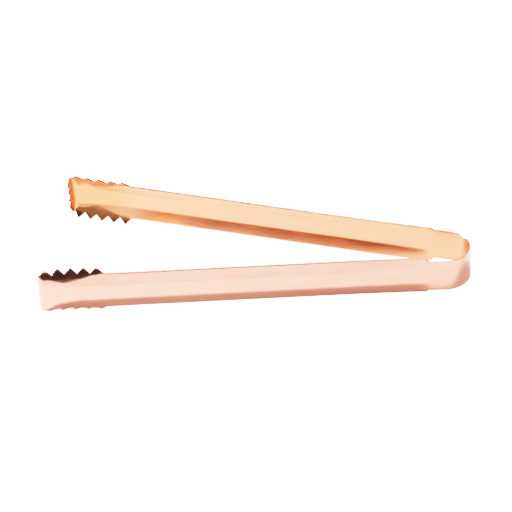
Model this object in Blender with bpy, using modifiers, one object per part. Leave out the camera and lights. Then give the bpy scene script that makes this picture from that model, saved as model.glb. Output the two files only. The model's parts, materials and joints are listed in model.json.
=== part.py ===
"""Ice tongs, pressed and bent from one strip of plated stainless spring steel.

A round bow joins two straight arms, which open away from each other. Each arm is stiffened by a
shallow channel, and ends in a claw: a scoop with a row of teeth along both side edges and a toothed
end wall. Only the bow flexes, so the strip is modelled as five named lengths: the bow, and on each
side an arm and a claw that swing together about the middle of that side's flexing stretch.

Run with: blender --background --python part.py
"""

import math

import bmesh
import bpy
from mathutils import Vector

MM = 0.001

# Strip and bow. The strip stands on its long edges, so its width runs up Z; the claws point to -X.
THICKNESS = 0.8 * MM
BOW_RADIUS = 10.67 * MM  # to the middle of the strip
BOW_HALF_WIDTH = 7.4 * MM
ARM_ANGLE = math.radians(9.16)  # each arm from the centre line, at rest

# Arm. Stations along it are measured from where the bow's arc ends.
ARM_HALF_WIDTH = 8.75 * MM
SHOULDER_HALF_WIDTH = 8.55 * MM  # where the arm starts, behind its notch
SHOULDER_START = 7.3 * MM  # the narrow bow band widens here to the arm
SHOULDER_END = 8.7 * MM
FLEX_END = 8.4 * MM  # the strip bends up to here, where the channel has begun to stiffen it
CHANNEL_START = 4.0 * MM
CHANNEL_QUICK = 13.0 * MM  # most of the channel's depth is there already
CHANNEL_FULL = 40.0 * MM
QUICK_SHARE = 0.68  # of the depth
CREASE = 3.1 * MM  # half the width of the channel's flat web
CREASE_SOFTNESS = 1.0 * MM
FLANK_SLOPE = 0.342  # rise of the channel's sides, inwards, for each unit of width

# Claw
REAR_TIP = 147.7 * MM  # station of the hindmost tooth's tip
TOOTH_PITCH = 5.5 * MM
TEETH_PER_SIDE = 5
TIP_HALF_WIDTH = 11.25 * MM
VALLEY_HALF_WIDTH = 9.0 * MM
TIP_INWARD = 4.0 * MM
CURL_REAR = 8.8 * MM  # half-width where the side wall starts to curl in, at the hindmost tooth
CURL_MIDDLE = 4.96 * MM
CURL_FRONT = 7.4 * MM
CURL_REAR_STATION = 145.1 * MM
CURL_MIDDLE_STATION = 162.0 * MM
CURL_FRONT_STATION = 161.0 * MM  # from here to the end wall it eases back to CURL_FRONT
FRONT_CREASE = 4.9 * MM  # the web widens to this at the end wall
FRONT_CREASE_STATION = 150.0 * MM

# End wall, bent up across the claw's mouth
BEND_STATION = 170.4 * MM
BEND_RADIUS = 2.2 * MM
BEND_ANGLE = math.radians(84)
CORNER_RUN = 1.4 * MM  # from the start of the bend to the end wall's corner
CORNER_HALF_WIDTH = 9.1 * MM
WALL_TOP_HALF_WIDTH = 5.55 * MM
WALL_TIP_HEIGHT = 5.3 * MM  # from the web's middle surface
WALL_TOOTH_DEPTH = 2.0 * MM
WALL_TEETH_ACROSS = 3  # pitches from the first tip to the last

# Where the strip is divided
SPLIT_ANGLE = math.radians(64)  # on the bow, from its crown
CLAW_STATION = 144.0 * MM
GAP = 0.3 * MM

ARC_END = math.pi / 2 - ARM_ANGLE
FLEX_LENGTH = BOW_RADIUS * ARC_END + FLEX_END
CLAW_COLUMNS = 9  # cells across half the claw, three for each half pitch of the end wall's teeth
ARM_COLUMNS = (0.0, 0.24, 0.30, 0.35, 0.41, 0.47, 1.0)

ROSE_GOLD = (0.84, 0.47, 0.34, 1.0)


def smoothstep(t):
    t = min(max(t, 0.0), 1.0)
    return t * t * (3 - 2 * t)


def blend(a, b, t):
    return a + (b - a) * t


def strip_point(side, station, height, inward):
    """A point on the strip: side is +1 or -1, and a negative station lies on the bow's arc."""
    if station < 0:
        angle = ARC_END + station / BOW_RADIUS
        radius = BOW_RADIUS - inward
        return Vector((radius * math.cos(angle), side * radius * math.sin(angle), height))
    start = Vector((BOW_RADIUS * math.cos(ARC_END), side * BOW_RADIUS * math.sin(ARC_END), height))
    along = Vector((-math.cos(ARM_ANGLE), side * math.sin(ARM_ANGLE), 0))
    towards_other_arm = Vector((-math.sin(ARM_ANGLE), -side * math.cos(ARM_ANGLE), 0))
    return start + station * along + inward * towards_other_arm


def channel(station):
    """Share of its full depth that the channel has: a quick start, then a slow run to full depth."""
    quick = smoothstep((station - CHANNEL_START) / (CHANNEL_QUICK - CHANNEL_START))
    slow = smoothstep((station - CHANNEL_START) / (CHANNEL_FULL - CHANNEL_START))
    return blend(slow, quick, QUICK_SHARE)


def arm_half_width(station):
    if station < SHOULDER_END:
        run = (station - SHOULDER_START) / (SHOULDER_END - SHOULDER_START)
        return blend(BOW_HALF_WIDTH, SHOULDER_HALF_WIDTH, max(run, 0.0))
    run = (station - SHOULDER_END) / (CHANNEL_QUICK - SHOULDER_END)
    return blend(SHOULDER_HALF_WIDTH, ARM_HALF_WIDTH, smoothstep(run))


def crease(station):
    """Half-width of the flat web."""
    run = (station - FRONT_CREASE_STATION) / (BEND_STATION - FRONT_CREASE_STATION)
    return blend(CREASE, FRONT_CREASE, min(max(run, 0.0), 1.0) ** 2)


def flank(station, height):
    """How far the channel's side has come inwards at a height, with a soft crease at its foot."""
    rise = abs(height) - crease(station)
    if rise < -CREASE_SOFTNESS:
        return 0.0
    if rise < CREASE_SOFTNESS:
        rise = (rise + CREASE_SOFTNESS) ** 2 / (4 * CREASE_SOFTNESS)
    return channel(station) * FLANK_SLOPE * rise


def curl(station, height):
    """The claw's side walls curl in beyond the flank, so that every tooth tip reaches TIP_INWARD."""
    rear_run = (station - CURL_REAR_STATION) / (CURL_MIDDLE_STATION - CURL_REAR_STATION)
    front_run = (station - CURL_FRONT_STATION) / (BEND_STATION - CURL_FRONT_STATION)
    start = blend(CURL_REAR, CURL_MIDDLE, smoothstep(rear_run))
    start = blend(start, CURL_FRONT, smoothstep(front_run))
    if abs(height) <= start:
        return 0.0
    reach = TIP_INWARD - flank(station, TIP_HALF_WIDTH)
    return reach * ((abs(height) - start) / (TIP_HALF_WIDTH - start)) ** 2


def claw_half_width(station):
    """The toothed outline: a tip every pitch, and a straight slope from the arm to the first."""
    tooth = TIP_HALF_WIDTH - VALLEY_HALF_WIDTH
    if station < REAR_TIP:
        return max(ARM_HALF_WIDTH, TIP_HALF_WIDTH - tooth * 2 * (REAR_TIP - station) / TOOTH_PITCH)
    phase = (station - REAR_TIP) / TOOTH_PITCH
    return TIP_HALF_WIDTH - tooth * 2 * abs(phase - round(phase))


def arm_point(side, station, fraction):
    height = fraction * arm_half_width(station)
    return strip_point(side, station, height, flank(station, height))


def scoop_point(side, station, fraction):
    edge = abs(fraction) == 1
    height = fraction * (claw_half_width(station) if edge else VALLEY_HALF_WIDTH)
    return strip_point(side, station, height, flank(station, height) + curl(station, height))


def wall_half_width(turn):
    """Half-width along the bend, by developed length from its start: front tooth, then corner."""
    run = min(turn / CORNER_RUN, 1.0)
    return blend(claw_half_width(BEND_STATION), CORNER_HALF_WIDTH, run)


def wall_point(side, turn, climb, fraction):
    """On the bend by its developed length turn, then on the flat wall by climb, from 0 to 1."""
    half_width = wall_half_width(turn)
    if climb > 0:
        half_width = blend(CORNER_HALF_WIDTH, WALL_TOP_HALF_WIDTH, climb)
    height = fraction * half_width
    root = flank(BEND_STATION, height) + curl(BEND_STATION, height)
    angle = turn / BEND_RADIUS
    station = BEND_STATION + BEND_RADIUS * math.sin(angle)
    inward = root + BEND_RADIUS * (1 - math.cos(angle))
    off_tip = abs((abs(fraction) * WALL_TEETH_ACROSS) % 2 - 1)
    top = WALL_TIP_HEIGHT - WALL_TOOTH_DEPTH * off_tip
    length = climb * (top - inward) / math.sin(BEND_ANGLE)
    station += length * math.cos(BEND_ANGLE)
    inward += length * math.sin(BEND_ANGLE)
    return strip_point(side, station, height, inward)


def rose_gold(name):
    material = bpy.data.materials.new(name + "_metal")
    material.use_nodes = True
    shader = material.node_tree.nodes["Principled BSDF"]
    shader.inputs["Base Color"].default_value = ROSE_GOLD
    shader.inputs["Metallic"].default_value = 1.0
    shader.inputs["Roughness"].default_value = 0.22
    material.diffuse_color = ROSE_GOLD
    return material


def plate(name, rows, columns, point, parent, collection):
    """A grid laid on the strip's middle surface by point(row, column), then thickened."""
    mesh = bpy.data.meshes.new(name)
    grid = bmesh.new()
    last_row, last_column = len(rows) - 1, len(columns) - 1
    bmesh.ops.create_grid(grid, x_segments=last_row, y_segments=last_column, size=1)
    for vertex in grid.verts:
        row = rows[round((vertex.co.x + 1) / 2 * last_row)]
        column = columns[round((vertex.co.y + 1) / 2 * last_column)]
        vertex.co = point(row, column) - parent.location
    bmesh.ops.recalc_face_normals(grid, faces=grid.faces)
    grid.to_mesh(mesh)
    grid.free()
    mesh.shade_smooth()
    mesh.set_sharp_from_angle(angle=math.radians(35))
    mesh.materials.append(rose_gold(name))
    piece = bpy.data.objects.new(name, mesh)
    piece.parent = parent
    collection.objects.link(piece)
    thicken = piece.modifiers.new("Thickness", "SOLIDIFY")
    thicken.thickness = THICKNESS
    thicken.offset = 0
    thicken.use_even_offset = True
    return piece


def empty(name, location, parent, collection):
    holder = bpy.data.objects.new(name, None)
    holder.empty_display_size = 5 * MM
    holder.location = location
    holder.parent = parent
    collection.objects.link(holder)
    return holder


def spaced(start, end, steps):
    return [blend(start, end, i / steps) for i in range(steps + 1)]


def flex_centre(side):
    """Middle of the flexing stretch from the crown to its end: where its arm seems to hinge."""
    arc = BOW_RADIUS * ARC_END
    arc_x = BOW_RADIUS * math.sin(ARC_END) / ARC_END
    arc_y = BOW_RADIUS * (1 - math.cos(ARC_END)) / ARC_END
    flat = strip_point(1, FLEX_END / 2, 0, 0)
    x = (arc_x * arc + flat.x * FLEX_END) / FLEX_LENGTH
    y = (arc_y * arc + flat.y * FLEX_END) / FLEX_LENGTH
    return Vector((x, side * y, 0))


def make_bow(root, collection):
    end = SPLIT_ANGLE - GAP / 2 / BOW_RADIUS
    rows = spaced(-end, end, 20)

    def point(angle, fraction):
        across = BOW_RADIUS * Vector((math.cos(angle), math.sin(angle), 0))
        return across + Vector((0, 0, fraction * BOW_HALF_WIDTH))

    return plate("spring_bow", rows, (-1, -0.5, 0, 0.5, 1), point, root, collection)


def make_arm(name, side, pivot, collection):
    start = BOW_RADIUS * (SPLIT_ANGLE - ARC_END) + GAP / 2
    rows = spaced(start, 0, 3)[:-1] + [0] + spaced(CHANNEL_START, SHOULDER_START, 2)
    rows += spaced(SHOULDER_START, SHOULDER_END, 2)[1:]
    rows += spaced(SHOULDER_END, CHANNEL_QUICK, 4)[1:]
    rows += spaced(CHANNEL_QUICK, CHANNEL_FULL, 3)[1:]
    rows += spaced(CHANNEL_FULL, CLAW_STATION - GAP / 2, 4)[1:]
    columns = [-f for f in reversed(ARM_COLUMNS[1:])] + list(ARM_COLUMNS)
    return plate(name, rows, columns, lambda s, f: arm_point(side, s, f), pivot, collection)


def make_claw(name, side, pivot, collection):
    tooth_run = TOOTH_PITCH / 2
    first_base = REAR_TIP - tooth_run * (TIP_HALF_WIDTH - ARM_HALF_WIDTH) / (
        TIP_HALF_WIDTH - VALLEY_HALF_WIDTH
    )
    front_tip = REAR_TIP + (TEETH_PER_SIDE - 1) * TOOTH_PITCH
    stations = [CLAW_STATION + GAP / 2] + spaced(first_base, REAR_TIP, 2)
    stations += spaced(REAR_TIP, front_tip, 4 * (TEETH_PER_SIDE - 1))[1:] + [BEND_STATION]
    bend_end = BEND_RADIUS * BEND_ANGLE
    turns = [CORNER_RUN / 2] + spaced(CORNER_RUN, bend_end, 3)
    rows = [("scoop", s, 0) for s in stations]
    rows += [("wall", turn, 0) for turn in turns]
    rows += [("wall", bend_end, climb) for climb in (0.5, 1.0)]
    columns = [i / CLAW_COLUMNS for i in range(-CLAW_COLUMNS, CLAW_COLUMNS + 1)]

    def point(row, fraction):
        kind, along, climb = row
        if kind == "scoop":
            return scoop_point(side, along, fraction)
        return wall_point(side, along, climb, fraction)

    return plate(name, rows, columns, point, pivot, collection)


def stand_on_floor(root, pieces):
    """Tilt the tongs onto the hindmost lower teeth and the arms' rear corners, and centre them."""
    drop = TIP_HALF_WIDTH - ARM_HALF_WIDTH
    reach = (REAR_TIP - SHOULDER_END) * math.cos(ARM_ANGLE)
    root.rotation_euler = (0, math.atan2(drop, reach), 0)
    bpy.context.view_layer.update()
    graph = bpy.context.evaluated_depsgraph_get()
    corners = []
    for piece in pieces:
        shaped = piece.evaluated_get(graph)
        corners += [shaped.matrix_world @ vertex.co for vertex in shaped.data.vertices]
    low = Vector(min(c[axis] for c in corners) for axis in range(3))
    high = Vector(max(c[axis] for c in corners) for axis in range(3))
    root.location -= Vector(((low.x + high.x) / 2, (low.y + high.y) / 2, low.z))


def main():
    for old in list(bpy.data.objects):
        bpy.data.objects.remove(old, do_unlink=True)
    collection = bpy.data.collections.new("ice_tongs")
    bpy.context.scene.collection.children.link(collection)
    root = empty("tongs_frame", (0, 0, 0), None, collection)
    pieces = [make_bow(root, collection)]
    for label, side in (("near", -1), ("far", 1)):
        pivot = empty(label + "_flex_axis", flex_centre(side), root, collection)
        pieces.append(make_arm(label + "_arm", side, pivot, collection))
        pieces.append(make_claw(label + "_claw", side, pivot, collection))
    stand_on_floor(root, pieces)


main()
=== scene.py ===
"""Ice tongs pressed from one strip of rose-gold plated spring steel, lying on their long edges.

The visible strip is lofted as six closed sheet pieces that meet without a gap: two halves of the
bow, and on each side an arm and a toothed claw.
"""

import json
import math

import bpy
import numpy as np
from mathutils import Matrix, Vector


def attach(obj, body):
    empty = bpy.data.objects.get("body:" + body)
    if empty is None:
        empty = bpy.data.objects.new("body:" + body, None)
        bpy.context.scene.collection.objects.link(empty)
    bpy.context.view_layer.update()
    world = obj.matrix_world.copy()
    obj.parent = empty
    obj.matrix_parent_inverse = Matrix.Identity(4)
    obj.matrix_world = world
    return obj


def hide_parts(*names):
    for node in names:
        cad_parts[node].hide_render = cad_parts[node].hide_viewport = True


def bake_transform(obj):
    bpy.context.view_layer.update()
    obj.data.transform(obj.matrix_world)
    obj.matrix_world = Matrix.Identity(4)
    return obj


MM = 0.001

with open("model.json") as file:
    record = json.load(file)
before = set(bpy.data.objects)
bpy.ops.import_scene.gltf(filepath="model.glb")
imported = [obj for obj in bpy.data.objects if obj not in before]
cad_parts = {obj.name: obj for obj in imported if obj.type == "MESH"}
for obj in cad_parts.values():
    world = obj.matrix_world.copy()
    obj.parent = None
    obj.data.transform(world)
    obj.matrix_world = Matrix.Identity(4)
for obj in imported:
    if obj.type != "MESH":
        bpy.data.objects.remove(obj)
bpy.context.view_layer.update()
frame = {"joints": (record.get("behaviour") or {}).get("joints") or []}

# Strip and bow. Lengths along the strip are runs from where the bow's arc ends; heights are from
# the strip's centre line; inward is towards the other arm.
THICKNESS = 0.8 * MM
EDGE_RADIUS = 0.22 * MM
BOW_RADIUS = 10.67 * MM
ARM_ANGLE = math.radians(9.16)
ARC_END = math.pi / 2 - ARM_ANGLE
CROWN = -BOW_RADIUS * ARC_END
FLEX_END = 8.4 * MM
CHANNEL_START = 4.0 * MM
CHANNEL_QUICK = 13.0 * MM
CHANNEL_FULL = 40.0 * MM
QUICK_SHARE = 0.68
CREASE = 3.1 * MM
CREASE_SOFTNESS = 1.0 * MM
FLANK_SLOPE = 0.342

# Claw. The teeth's runs are plain millimetres.
REAR_TIP = 147.7
TOOTH_PITCH = 5.5
TEETH_PER_SIDE = 5
FRONT_TIP = REAR_TIP + TOOTH_PITCH * (TEETH_PER_SIDE - 1)
TIP_HALF_WIDTH = 11.25 * MM
TIP_INWARD = 4.0 * MM
CURL_STATIONS = (145.1 * MM, 162.0 * MM)
CURL_FRONT_STATION = 161.0 * MM
CURL_STARTS = (8.8 * MM, 4.96 * MM, 7.4 * MM)
FRONT_CREASE = 4.9 * MM
FRONT_CREASE_STATION = 150.0 * MM

# End wall
BEND_STATION = 170.4 * MM
BEND_OUTERMOST = 172.6 * MM
BEND_RADII = (3.0 * MM, 1.5 * MM)
BEND_ANGLE = math.radians(84)
CORNER_HALF_WIDTH = 9.1 * MM
WALL_TOP_HALF_WIDTH = 5.55 * MM
WALL_TIP_HEIGHT = 5.3 * MM
WALL_TOOTH_DEPTH = 2.0 * MM

# Half-widths of the strip, and the runs where its outline turns, in plain millimetres
BOW_HALF_WIDTH = 7.4
SHOULDER_RUNS = (7.3, 8.7)
SHOULDER_HALF_WIDTH = 8.55
ARM_START = 14.0
ARM_END = 144.64
ARM_HALF_WIDTH = 8.75
TOOTH_HALF_WIDTHS = (11.25, 9.0)  # at a tip and in a valley
FRONT_TOOTH_END = (170.4, 10.68)
CORNER = (171.8, 9.1)
PAST_THE_ENDS = (-20.0, 190.0)

# The outline: half-width by run, with straight lines between
OUTLINE = [
    (PAST_THE_ENDS[0], BOW_HALF_WIDTH),
    (SHOULDER_RUNS[0], BOW_HALF_WIDTH),
    (SHOULDER_RUNS[1], SHOULDER_HALF_WIDTH),
    (ARM_START, ARM_HALF_WIDTH),
    (ARM_END, ARM_HALF_WIDTH),
]
OUTLINE += [
    (REAR_TIP + TOOTH_PITCH * i / 2, TOOTH_HALF_WIDTHS[i % 2]) for i in range(2 * TEETH_PER_SIDE - 1)
]
OUTLINE += [FRONT_TOOTH_END, CORNER, (PAST_THE_ENDS[1], CORNER[1])]
OUTLINE = np.array(OUTLINE).T * MM

# Where the pieces of a half meet
BOW_SEAM = 7.0  # plain millimetres, like the next
CLAW_SEAM = 144.0
CORNER_ROUNDING = 0.12 * MM  # half the length that the outline is averaged over


def smoothstep(t):
    t = np.clip(t, 0, 1)
    return t * t * (3 - 2 * t)


def blend(a, b, t):
    return a + (b - a) * t


CORNER_SPREAD = np.linspace(-CORNER_ROUNDING, CORNER_ROUNDING, 7)


def half_width(run):
    """The outline with its corners rounded by averaging over a short length."""
    return np.mean([np.interp(run + d, *OUTLINE) for d in CORNER_SPREAD], 0)


def channel(run):
    """Share of its full depth that the channel has: a quick start, then a long run to full depth."""
    quick = smoothstep((run - CHANNEL_START) / (CHANNEL_QUICK - CHANNEL_START))
    slow = smoothstep((run - CHANNEL_START) / (CHANNEL_FULL - CHANNEL_START))
    return blend(slow, quick, QUICK_SHARE)


def flank(run, height):
    """How far the channel's side has come inwards, with a soft crease at its foot."""
    front = np.clip((run - FRONT_CREASE_STATION) / (BEND_STATION - FRONT_CREASE_STATION), 0, 1) ** 2
    rise = np.abs(height) - blend(CREASE, FRONT_CREASE, front)
    soft = (np.maximum(rise + CREASE_SOFTNESS, 0)) ** 2 / (4 * CREASE_SOFTNESS)
    return channel(run) * FLANK_SLOPE * np.where(rise < CREASE_SOFTNESS, soft, rise)


def curl(run, height):
    """How far the claw's side wall curls in beyond the flank."""
    rear, middle = CURL_STATIONS
    start = blend(CURL_STARTS[0], CURL_STARTS[1], smoothstep((run - rear) / (middle - rear)))
    front = smoothstep((run - CURL_FRONT_STATION) / (BEND_STATION - CURL_FRONT_STATION))
    start = blend(start, CURL_STARTS[2], front)
    reach = TIP_INWARD - flank(run, TIP_HALF_WIDTH)
    climb = np.maximum(np.abs(height) - start, 0) / (TIP_HALF_WIDTH - start)
    return np.where(run > CURL_STATIONS[0], reach * climb**2, 0)


def bend_radius(height):
    """The end wall's bend is wide at mid height and tight at its corners."""
    return blend(*BEND_RADII, np.clip(np.abs(height) / CORNER_HALF_WIDTH, 0, 1) ** 2)


def bend_start(height):
    return BEND_OUTERMOST - bend_radius(height)


def middle_surface(side, run, height):
    """Points of the strip's middle surface, before the tongs are set down, by run and height."""
    run, height = np.broadcast_arrays(np.asarray(run, float), np.asarray(height, float))
    radius = bend_radius(height)
    flat = np.minimum(run, bend_start(height))
    inward = flank(flat, height) + curl(flat, height)
    turn = np.clip((run - bend_start(height)) / radius, 0, BEND_ANGLE)
    past = np.maximum(run - bend_start(height) - radius * BEND_ANGLE, 0)
    station = np.maximum(flat, 0) + radius * np.sin(turn) + past * math.cos(BEND_ANGLE)
    inward = inward + radius * (1 - np.cos(turn)) + past * math.sin(BEND_ANGLE)
    angle = ARC_END + np.minimum(run, 0) / BOW_RADIUS
    reach = BOW_RADIUS - inward
    x = reach * np.cos(angle) - station * math.cos(ARM_ANGLE)
    y = reach * np.sin(angle) + station * math.sin(ARM_ANGLE)
    return np.stack([x, side * y, height], -1)


def inward_normals(side, run, height):
    step = 0.01 * MM
    along = middle_surface(side, run + step, height) - middle_surface(side, run - step, height)
    across = middle_surface(side, run, height + step) - middle_surface(side, run, height - step)
    normal = np.cross(across, along) * side
    return normal / np.linalg.norm(normal, axis=-1, keepdims=True)


# Columns across the strip: even to 5/6 of its width, closer beyond, then round over the edge
ROUND = np.radians([0, 22.5, 45, 67.5, 90])
INNER_COLUMNS = np.arange(-25, 26) / 25
OUTER_COLUMNS = np.arange(1, 5) / 4
INNER_SHARE = 5 / 6
ENVELOPE = 8.6 * MM


def columns(width, envelope):
    """Heights and edge roundings of one row, from the lower edge to the upper."""
    limit = width - EDGE_RADIUS
    inner = INNER_SHARE * envelope * INNER_COLUMNS
    outer = blend(INNER_SHARE * envelope, limit, OUTER_COLUMNS)
    rim = limit + EDGE_RADIUS * np.sin(ROUND[1:])
    upper = np.concatenate([outer, rim])
    heights = np.concatenate([-upper[::-1], inner, upper])
    fall = np.zeros_like(heights)
    fall[: len(ROUND) - 1] = (1 - np.cos(ROUND[:0:-1])) * EDGE_RADIUS
    fall[-len(ROUND) + 1 :] = (1 - np.cos(ROUND[1:])) * EDGE_RADIUS
    return heights, fall


def wall_length(height):
    """Length of the flat end wall up to its toothed edge, at a height at that edge."""
    offsets = np.linspace(-0.1, 0.1, 7) * MM
    pitch = WALL_TOP_HALF_WIDTH * 2 / 3
    off_tip = [np.abs((np.abs(height + d) / (pitch / 2)) % 2 - 1) for d in offsets]
    top = WALL_TIP_HEIGHT - WALL_TOOTH_DEPTH * np.clip(np.mean(off_tip, 0), 0, 1)
    start = bend_start(height)
    base = flank(start, height) + curl(start, height) + bend_radius(height) * (1 - math.cos(BEND_ANGLE))
    return (top - base) / math.sin(BEND_ANGLE)


def strip_rows(runs, with_wall):
    """Runs, heights, the fall of the surface at the edges and the way in from the nearest edge."""
    grid = []

    def add(run_at, width, envelope, drop=0.0, from_end=np.inf):
        heights, fall = columns(width, envelope)
        inset = np.minimum(width - np.abs(heights), from_end)
        grid.append((run_at(heights) + 0 * heights, heights, fall + drop, inset))

    for run in runs:
        width = float(half_width(run))
        add(lambda h, run=run: run, width, min(width, ENVELOPE))
    if not with_wall:
        return [np.array(part) for part in zip(*grid)]
    corner_start = bend_start(CORNER_HALF_WIDTH)
    for run in [FRONT_TIP * MM] + list(np.linspace(FRONT_TIP * MM + 0.2 * MM, corner_start, 7)):
        share = (run - runs[-1]) / (corner_start - runs[-1])
        width = float(half_width(run))
        add(lambda h, t=share: blend(runs[-1], bend_start(h), t), width, min(width, ENVELOPE))
    for share in np.linspace(0, 1, 15)[1:]:
        width = float(half_width(corner_start + share * BEND_RADII[1] * BEND_ANGLE))
        envelope = blend(ENVELOPE, CORNER_HALF_WIDTH, share)
        add(lambda h, t=share: bend_start(h) + t * bend_radius(h) * BEND_ANGLE, width, envelope)
    top_heights = columns(WALL_TOP_HALF_WIDTH, WALL_TOP_HALF_WIDTH)[0]
    lengths = wall_length(top_heights)

    def wall_start(h):
        return bend_start(h) + bend_radius(h) * BEND_ANGLE

    for climb in (0.15, 0.3, 0.45, 0.6, 0.75, 0.88):
        width = blend(CORNER_HALF_WIDTH, WALL_TOP_HALF_WIDTH, climb)
        along = climb * (lengths - EDGE_RADIUS)
        add(lambda h, a=along: wall_start(h) + a, width, width, from_end=lengths - along)
    for turn in ROUND:
        along = lengths + EDGE_RADIUS * (math.sin(turn) - 1)
        drop = EDGE_RADIUS * (1 - math.cos(turn))
        width = WALL_TOP_HALF_WIDTH
        add(lambda h, a=along: wall_start(h) + a, width, width, drop, lengths - along)
    return [np.array(part) for part in zip(*grid)]


far_flex = next(joint for joint in frame["joints"] if joint["name"] == "far_flex")


def setting_down():
    """Matrix from the tongs' own axes to the row frame, from the far side's flexing axis."""
    arc = -CROWN
    length = arc + FLEX_END
    flat = middle_surface(1, FLEX_END / 2, 0)
    x = (BOW_RADIUS * math.sin(ARC_END) / ARC_END * arc + flat[0] * FLEX_END) / length
    y = (BOW_RADIUS * (1 - math.cos(ARC_END)) / ARC_END * arc + flat[1] * FLEX_END) / length
    axis = far_flex["axis"]
    turn = Matrix.Rotation(math.atan2(axis[0], axis[2]), 4, "Y")
    shift = Vector(far_flex["pos_m"]) - turn @ Vector((x, y, 0))
    return Matrix.Translation(shift) @ turn


SET_DOWN = setting_down()


def sheet_piece(name, side, runs, with_wall=False):
    """A closed sheet: its outer and inner faces are grids, joined round all four borders."""
    run, height, fall, inset = strip_rows(runs, with_wall)
    middle = middle_surface(side, run, height)
    normal = inward_normals(side, run, height)
    offset = (THICKNESS / 2 - np.minimum(fall, THICKNESS / 2 * 0.9))[..., None]
    rows, count = run.shape
    points = np.concatenate([middle - normal * offset, middle + normal * offset]).reshape(-1, 3)
    points = points @ np.array(SET_DOWN.to_3x3()).T + np.array(SET_DOWN.translation)
    index = np.arange(2 * rows * count).reshape(2, rows, count)

    def quads(a, b):
        return np.stack([a[:-1], a[1:], b[1:], b[:-1]], -1).reshape(-1, 4)

    faces = []
    for layer, flip in ((index[0], False), (index[1], True)):
        grid = np.stack(
            [layer[:-1, :-1], layer[1:, :-1], layer[1:, 1:], layer[:-1, 1:]], -1
        ).reshape(-1, 4)
        faces.append(grid[:, ::-1] if flip else grid)
    faces.append(quads(index[1][:, 0], index[0][:, 0]))
    faces.append(quads(index[0][:, -1], index[1][:, -1]))
    faces.append(quads(index[0][0], index[1][0]))
    faces.append(quads(index[1][-1], index[0][-1]))
    faces = np.concatenate(faces)
    if side < 0:
        faces = faces[:, ::-1]
    mesh = bpy.data.meshes.new(name)
    mesh.from_pydata(points.tolist(), [], faces.tolist())
    mesh.validate()
    mesh.update()
    strip = mesh.attributes.new("strip", "FLOAT_VECTOR", "POINT")
    layer = np.repeat([-1.0, 1.0], rows * count)
    values = np.stack([np.tile(run.ravel(), 2), np.tile(height.ravel(), 2), layer * MM], -1)
    strip.data.foreach_set("vector", values.astype(np.float32).ravel())
    rim = mesh.attributes.new("rim", "FLOAT", "POINT")
    rim.data.foreach_set("value", np.tile(inset.ravel(), 2).astype(np.float32))
    mesh.shade_smooth()
    mesh.set_sharp_from_angle(angle=math.radians(40))
    piece = bpy.data.objects.new(name, mesh)
    bpy.context.scene.collection.objects.link(piece)
    return piece


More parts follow.
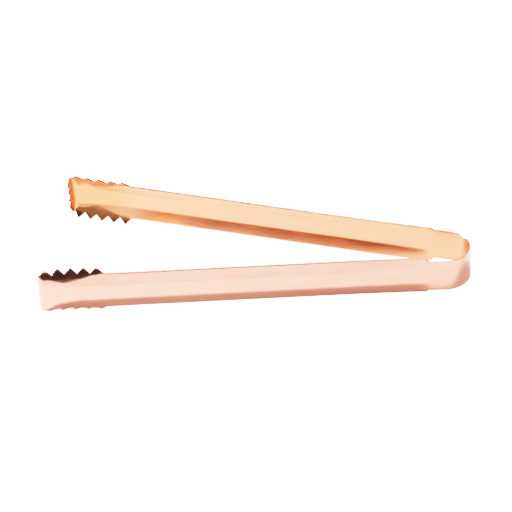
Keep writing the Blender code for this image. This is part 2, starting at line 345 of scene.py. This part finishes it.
def plated_metal():
    material = bpy.data.materials.new("rose_gold_plate")
    material.use_nodes = True
    tree = material.node_tree
    nodes, links = tree.nodes, tree.links
    shader = nodes["Principled BSDF"]
    shader.inputs["Metallic"].default_value = 1.0

    def attribute(name):
        made = nodes.new("ShaderNodeAttribute")
        made.attribute_name = name
        return made

    strip = attribute("strip")
    axes = nodes.new("ShaderNodeSeparateXYZ")
    links.new(strip.outputs["Vector"], axes.inputs[0])
    run, height, face = axes.outputs

    def ramp(value, low, high, out_low=0.0, out_high=1.0):
        made = nodes.new("ShaderNodeMapRange")
        made.interpolation_type = "SMOOTHSTEP"
        links.new(value, made.inputs["Value"])
        limits = {"From Min": low, "From Max": high, "To Min": out_low, "To Max": out_high}
        for key, number in limits.items():
            made.inputs[key].default_value = number
        return made.outputs["Result"]

    def mixed(factor, a, b):
        made = nodes.new("ShaderNodeMix")
        made.data_type = "RGBA"
        links.new(factor, made.inputs["Factor"])
        for key, value in (("A", a), ("B", b)):
            socket = [s for s in made.inputs if s.name == key and s.type == "RGBA"][0]
            if isinstance(value, tuple):
                socket.default_value = value
            else:
                links.new(value, socket)
        return [s for s in made.outputs if s.type == "RGBA"][0]

    def streaks(scale, detail=2.0):
        """Noise on the strip's own run, height and face, stretched by its waves per metre."""
        mapping = nodes.new("ShaderNodeMapping")
        mapping.inputs["Scale"].default_value = scale
        links.new(strip.outputs["Vector"], mapping.inputs["Vector"])
        noise = nodes.new("ShaderNodeTexNoise")
        noise.inputs["Scale"].default_value = 1.0
        noise.inputs["Detail"].default_value = detail
        links.new(mapping.outputs[0], noise.inputs["Vector"])
        return noise.outputs["Fac"]

    def maths(operation, a, b):
        made = nodes.new("ShaderNodeMath")
        made.operation = operation
        for socket, value in zip(made.inputs, (a, b)):
            if isinstance(value, float):
                socket.default_value = value
            else:
                links.new(value, socket)
        return made.outputs[0]

    def bumped(height, depth, under=None):
        made = nodes.new("ShaderNodeBump")
        made.inputs["Strength"].default_value = 1.0
        made.inputs["Distance"].default_value = depth
        links.new(height, made.inputs["Height"])
        if under is not None:
            links.new(under, made.inputs["Normal"])
        return made.outputs[0]

    rim = attribute("rim").outputs["Fac"]
    grain = streaks((90, 6500, 2300), 3.0)
    blotches = streaks((70, 190, 1700))
    waves = streaks((55, 130, 900), 1.0)
    bow_lines = streaks((2300, 70, 1300))
    scuffs = streaks((260, 900, 900), 3.0)

    # Painted shade: the inside face is coloured darker and more orange than the outside to stand in for the
    # shade on the floor between the arms. It is painted darker still in the claw's hollow.
    inside = ramp(face, -0.5 * MM, 0.5 * MM)
    claw_painted_shade = ramp(run, 138 * MM, 158 * MM)
    inner_shaded_colour = mixed(claw_painted_shade, (0.83, 0.345, 0.20, 1), (0.80, 0.30, 0.14, 1))
    inner_shaded_colour = mixed(ramp(grain, 0.42, 0.62, 0.0, 0.35), inner_shaded_colour, (0.87, 0.44, 0.28, 1))
    outer_colour = mixed(ramp(blotches, 0.35, 0.65), (0.86, 0.405, 0.315, 1), (0.84, 0.39, 0.285, 1))
    colour = mixed(inside, outer_colour, inner_shaded_colour)
    worn = maths("MULTIPLY", ramp(rim, 0.1 * MM, 0.55 * MM, 1.0, 0.0), ramp(scuffs, 0.5, 0.72))
    links.new(mixed(worn, colour, (0.80, 0.44, 0.33, 1)), shader.inputs["Base Color"])

    roughness = ramp(inside, 0.0, 1.0, 0.13, 0.16)
    roughness = maths("ADD", roughness, ramp(grain, 0.3, 0.7, 0.0, 0.06))
    roughness = maths("ADD", roughness, ramp(blotches, 0.3, 0.7, 0.0, 0.05))
    roughness = maths("ADD", roughness, maths("MULTIPLY", worn, 0.14))
    links.new(roughness, shader.inputs["Roughness"])

    on_bow = ramp(run, 2 * MM, 9 * MM, 1.0, 0.0)
    relief = bumped(waves, 0.025 * MM)
    relief = bumped(grain, 0.0016 * MM, relief)
    relief = bumped(maths("MULTIPLY", bow_lines, on_bow), 0.006 * MM, relief)
    links.new(bumped(maths("MULTIPLY", scuffs, worn), 0.004 * MM, relief), shader.inputs["Normal"])
    return material


def mm_points(first, last, step):
    count = max(1, math.ceil((last - first) / step - 1e-6))
    return list(np.linspace(first, last, count + 1) * MM)


def build_tongs():
    metal = plated_metal()
    crown = CROWN / MM
    bow_runs = [CROWN, CROWN + 0.02 * MM] + mm_points(crown + 0.4, 0.0, 0.4) + mm_points(0.7, BOW_SEAM, 0.7)
    arm_runs = mm_points(BOW_SEAM, 9.4, 0.1) + mm_points(9.8, 15.0, 0.4) + mm_points(24, CLAW_SEAM, 12)
    tooth_step = TOOTH_PITCH / 20
    claw_runs = [CLAW_SEAM * MM]
    claw_runs += mm_points(REAR_TIP - 13 * tooth_step, FRONT_TIP - tooth_step, tooth_step)
    for label, side in (("near", -1), ("far", 1)):
        jaw = label + "_jaw"
        half = sheet_piece("bow_" + label + "_half", side, bow_runs)
        arm = sheet_piece(label + "_arm_strip", side, arm_runs)
        claw = sheet_piece(label + "_claw_strip", side, claw_runs, with_wall=True)
        for piece in (half, arm, claw):
            piece.data.materials.append(metal)
        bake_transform(half)
        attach(arm, jaw)
        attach(claw, jaw)
        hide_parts("spring_bow")
        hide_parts(label + "_arm")
        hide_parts(label + "_claw")


def plane(name, size, height, material):
    mesh = bpy.data.meshes.new(name)
    h = size / 2
    corners = [(-h, -h, height), (h, -h, height), (h, h, height), (-h, h, height)]
    mesh.from_pydata(corners, [], [(0, 1, 2, 3)])
    mesh.materials.append(material)
    floor = bpy.data.objects.new(name, mesh)
    bpy.context.scene.collection.objects.link(floor)
    return floor


def area_light(name, position, aim, size, energy):
    data = bpy.data.lights.new(name, "AREA")
    data.shape = "RECTANGLE"
    data.size, data.size_y = size
    data.energy = energy
    lamp = bpy.data.objects.new(name, data)
    lamp.location = position
    lamp.rotation_mode = "QUATERNION"
    lamp.rotation_quaternion = (Vector(aim) - Vector(position)).to_track_quat("-Z", "Y")
    bpy.context.scene.collection.objects.link(lamp)
    return lamp


def build_stage():
    """A white backdrop that only the camera sees, and a lit paper floor that all else sees."""
    white = bpy.data.materials.new("backdrop_white")
    white.use_nodes = True
    shader = white.node_tree.nodes["Principled BSDF"]
    shader.inputs["Base Color"].default_value = (0, 0, 0, 1)
    shader.inputs["Specular IOR Level"].default_value = 0
    shader.inputs["Emission Color"].default_value = (1, 1, 1, 1)
    shader.inputs["Emission Strength"].default_value = 3.0
    backdrop = plane("backdrop_floor", 40.0, -0.0006, white)
    backdrop.visible_diffuse = False
    backdrop.visible_glossy = False
    backdrop.visible_shadow = False

    paper = bpy.data.materials.new("paper_floor")
    paper.use_nodes = True
    shader = paper.node_tree.nodes["Principled BSDF"]
    shader.inputs["Base Color"].default_value = (0.85, 0.85, 0.85, 1)
    shader.inputs["Roughness"].default_value = 0.9
    shader.inputs["Specular IOR Level"].default_value = 0.1
    floor = plane("paper_floor", 6.0, -0.0002, paper)
    floor.visible_camera = False

    world = bpy.data.worlds.new("studio")
    bpy.context.scene.world = world
    world.use_nodes = True
    background = world.node_tree.nodes["Background"]
    background.inputs["Color"].default_value = (1, 1, 1, 1)
    background.inputs["Strength"].default_value = 0.06

    area_light("overhead_softbox", (0.1, -0.25, 1.3), (0, 0, 0), (1.0, 1.0), 17.0)
    area_light("key_softbox", (-0.81, 0.17, 0.996), (0, 0, 0), (0.3, 0.3), 38.0)
    area_light("back_card", (0.45, 1.2, 0.9), (0, 0, 0), (1.1, 0.6), 7.5)
    front = area_light("front_low_card", (0.3, -3.0, 0.1), (0, 0, 0.1), (4.0, 0.35), 12.0)
    front.visible_diffuse = False
    fill = area_light("front_left_card", (-1.0, -1.3, 0.5), (-0.08, 0, 0), (1.0, 1.0), 1.2)
    fill.visible_diffuse = False


# The photograph's view of the tongs. Angles in degrees: round from the front, above level, roll.
VIEW_ANGLES = (9.65, 36.862, -3.178)
VIEW_TARGET = (-80.807, -3.189, 0)  # plain millimetres, like the next
VIEW_DISTANCE = 1136.0
LENS = 186.04  # on a 36 mm sensor


def build_camera():
    """The photograph's view of the tongs, in the tongs' own axes and then set down with them."""
    azimuth, elevation, roll = (math.radians(a) for a in VIEW_ANGLES)
    back = Vector((
        math.sin(azimuth) * math.cos(elevation),
        -math.cos(azimuth) * math.cos(elevation),
        math.sin(elevation),
    ))
    target = Vector(VIEW_TARGET) * MM
    right = (-back).cross(Vector((0, 0, 1))).normalized()
    up = right.cross(-back)
    x_axis = math.cos(roll) * right + math.sin(roll) * up
    y_axis = -math.sin(roll) * right + math.cos(roll) * up
    data = bpy.data.cameras.new("camera")
    data.sensor_width = 36.0
    data.lens = LENS
    data.clip_start, data.clip_end = 0.05, 60
    camera = bpy.data.objects.new("camera", data)
    pose = Matrix((x_axis, y_axis, back)).transposed().to_4x4()
    pose.translation = target + back * VIEW_DISTANCE * MM
    camera.matrix_world = SET_DOWN @ pose
    bpy.context.scene.collection.objects.link(camera)
    bpy.context.scene.camera = camera


def film_response():
    """A soft shoulder and toe, as a camera gives, before the display transform."""
    settings = bpy.context.scene.view_settings
    settings.view_transform = "Standard"
    settings.use_curve_mapping = True
    mapping = settings.curve_mapping
    white = 3.0
    mapping.white_level = (white, white, white)
    response = [(0.0, 0.0), (0.038, 0.02), (0.085, 0.06), (0.17, 0.15), (0.3, 0.3), (0.5, 0.5)]
    response += [(0.71, 0.65), (1.05, 0.8), (1.5, 0.9), (1.96, 0.95), (3.0, 1.0)]
    curve = mapping.curves[3]
    for light, shown in response[1:-1]:
        curve.points.new(light / white, shown)
    mapping.update()


build_tongs()
build_stage()
build_camera()
film_response()
